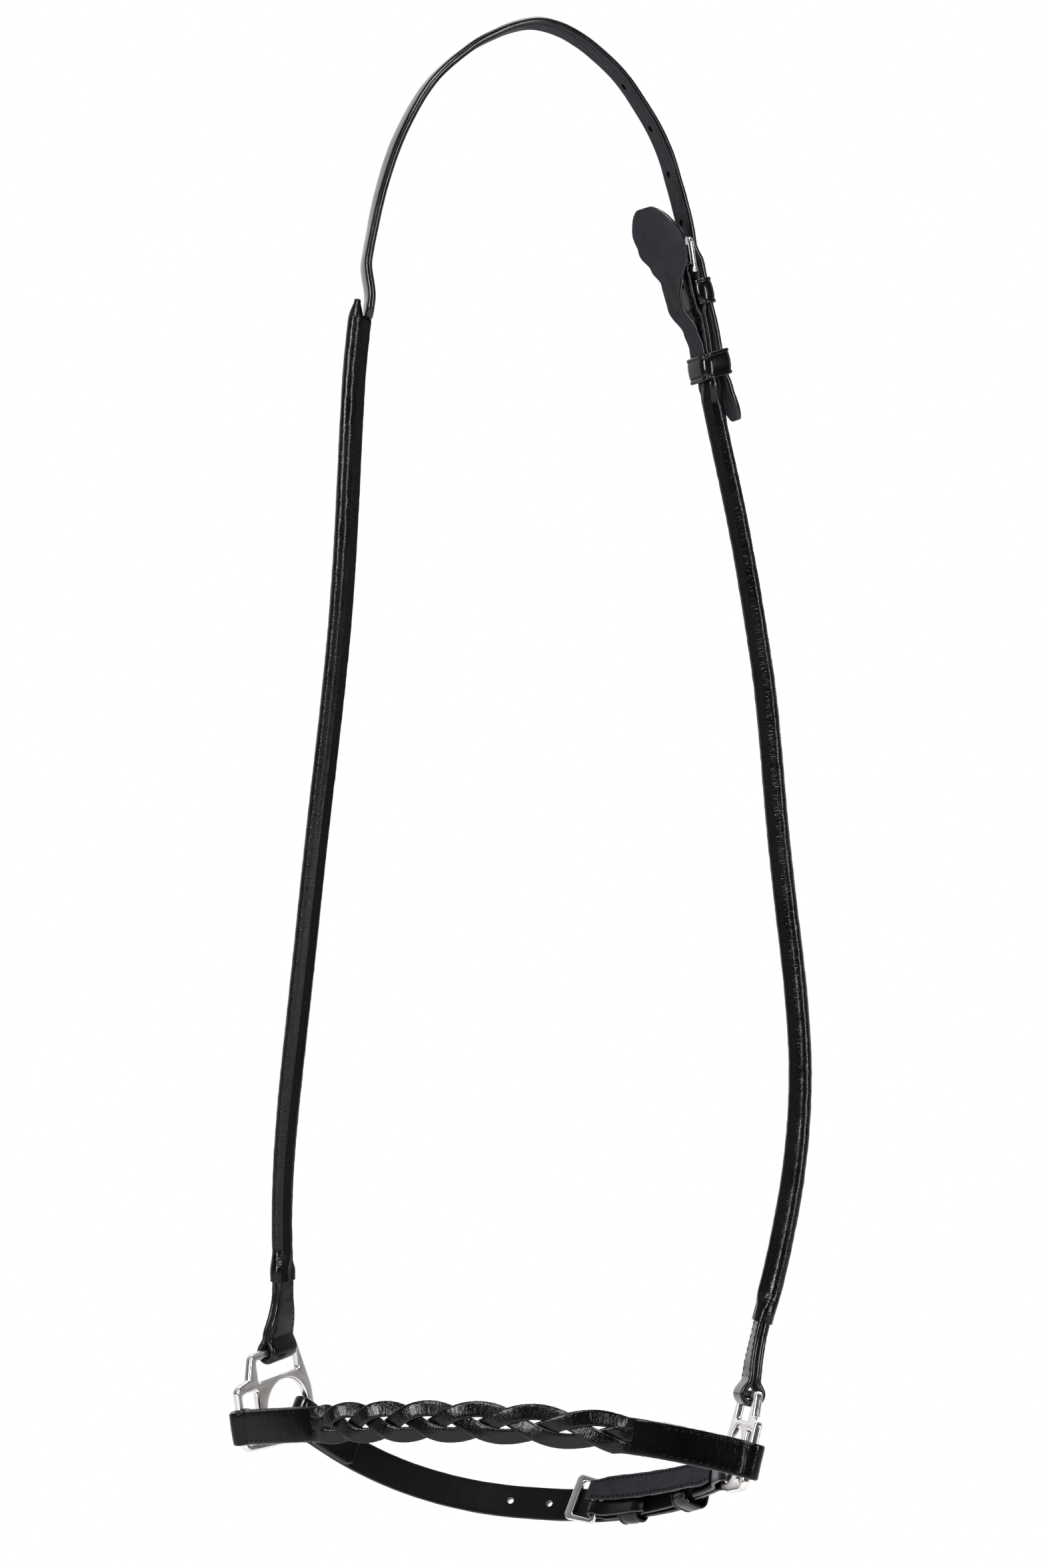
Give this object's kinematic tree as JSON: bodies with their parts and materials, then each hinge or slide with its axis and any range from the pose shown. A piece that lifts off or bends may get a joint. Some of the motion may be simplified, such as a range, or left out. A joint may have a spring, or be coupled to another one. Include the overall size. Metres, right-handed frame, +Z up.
{
  "type": "braided drop noseband",
  "caption": "Black leather drop noseband with a plaited nosepiece, rolled cheeks, cast ring fittings and a buckled chin strap, hung by its headpiece.",
  "frame": {"origin": "underside of the headpiece at its highest point", "axes": "+Z up along the cheeks, +X towards the horse's near side with both buckles, +Y towards the back of the head, so -Y is the front of the nose"},
  "size_m": [0.2523, 0.1445, 0.6658],
  "materials": {
    "crown_strap": "glossy black, rounded edges",
    "off_cheek_roll": "glossy black, rounded edges",
    "off_cheek_core": "twisted cord, hidden in the leather",
    "off_cheek_tab": "glossy black, rounded edges",
    "near_cheek_roll": "glossy black, rounded edges",
    "near_cheek_core": "twisted cord, hidden in the leather",
    "near_cheek_tab": "glossy black, rounded edges",
    "near_cheek_chape": "glossy black, rounded edges",
    "cheek_buckle_frame": "nickel plated, satin faces and polished edges",
    "cheek_buckle_tongue": "nickel plated, satin faces and polished edges",
    "cheek_buckle_guard": "flesh side out, matt dark grey",
    "cheek_fixed_keeper": "glossy black, rounded edges",
    "cheek_running_keeper": "glossy black, rounded edges",
    "off_ring": "nickel plated, satin faces and polished edges",
    "near_ring": "nickel plated, satin faces and polished edges",
    "braided_nosepiece": "glossy black, rounded edges",
    "off_chin_strap": "glossy black, rounded edges",
    "near_chin_strap": "glossy black, rounded edges",
    "chin_buckle_frame": "nickel plated, satin faces and polished edges",
    "chin_buckle_tongue": "nickel plated, satin faces and polished edges",
    "chin_guard": "flesh side out, matt dark grey",
    "chin_fixed_keeper": "glossy black, rounded edges",
    "chin_running_keeper": "glossy black, rounded edges"
  },
  "bodies": {
    "headstall": {"crown_strap": "crown_strap", "off_cheek_roll": "off_cheek_roll", "off_cheek_core": "off_cheek_core", "off_cheek_tab": "off_cheek_tab", "near_cheek_roll": "near_cheek_roll", "near_cheek_core": "near_cheek_core", "near_cheek_tab": "near_cheek_tab", "near_cheek_chape": "near_cheek_chape", "cheek_buckle_frame": "cheek_buckle_frame", "cheek_buckle_guard": "cheek_buckle_guard", "cheek_fixed_keeper": "cheek_fixed_keeper"},
    "cheek_tongue": {"cheek_buckle_tongue": "cheek_buckle_tongue"},
    "cheek_keeper": {"cheek_running_keeper": "cheek_running_keeper"},
    "noseband": {"off_ring": "off_ring", "near_ring": "near_ring", "braided_nosepiece": "braided_nosepiece"},
    "chin_strap": {"off_chin_strap": "off_chin_strap", "near_chin_strap": "near_chin_strap", "chin_buckle_frame": "chin_buckle_frame", "chin_guard": "chin_guard", "chin_fixed_keeper": "chin_fixed_keeper"},
    "chin_tongue": {"chin_buckle_tongue": "chin_buckle_tongue"},
    "chin_keeper": {"chin_running_keeper": "chin_running_keeper"}
  },
  "joints": [
    {"name": "cheek_tongue_lift", "type": "hinge", "parent": "headstall", "child": "cheek_tongue", "pos_m": [0.06774, 0.02104, -0.10338], "axis": [-0.4324, 0.901, -0.0364], "range_deg": [0, 6]},
    {"name": "cheek_keeper_slide", "type": "slide", "parent": "headstall", "child": "cheek_keeper", "axis": [0.1713, 0.0248, -0.9849], "range_m": [-0.002, 0.0015]},
    {"name": "noseband_swing", "type": "hinge", "parent": "headstall", "child": "noseband", "pos_m": [-0.0111, -0.0042, -0.5835], "axis": [0.9562, -0.2905, -0.0345], "range_deg": [-3.5, 3.5]},
    {"name": "chin_strap_swing", "type": "hinge", "parent": "noseband", "child": "chin_strap", "pos_m": [-0.01233, -0.00636, -0.60834], "axis": [0.9441, -0.3282, -0.0311], "range_deg": [-6, 7]},
    {"name": "chin_tongue_lift", "type": "hinge", "parent": "chin_strap", "child": "chin_tongue", "pos_m": [0.02984, 0.04156, -0.65097], "axis": [-0.1745, -0.5263, -0.8322], "range_deg": [0, 6]},
    {"name": "chin_keeper_slide", "type": "slide", "parent": "chin_strap", "child": "chin_keeper", "axis": [0.4867, -0.8009, 0.3489], "range_m": [-0.006, 0.0045]}
  ]
}
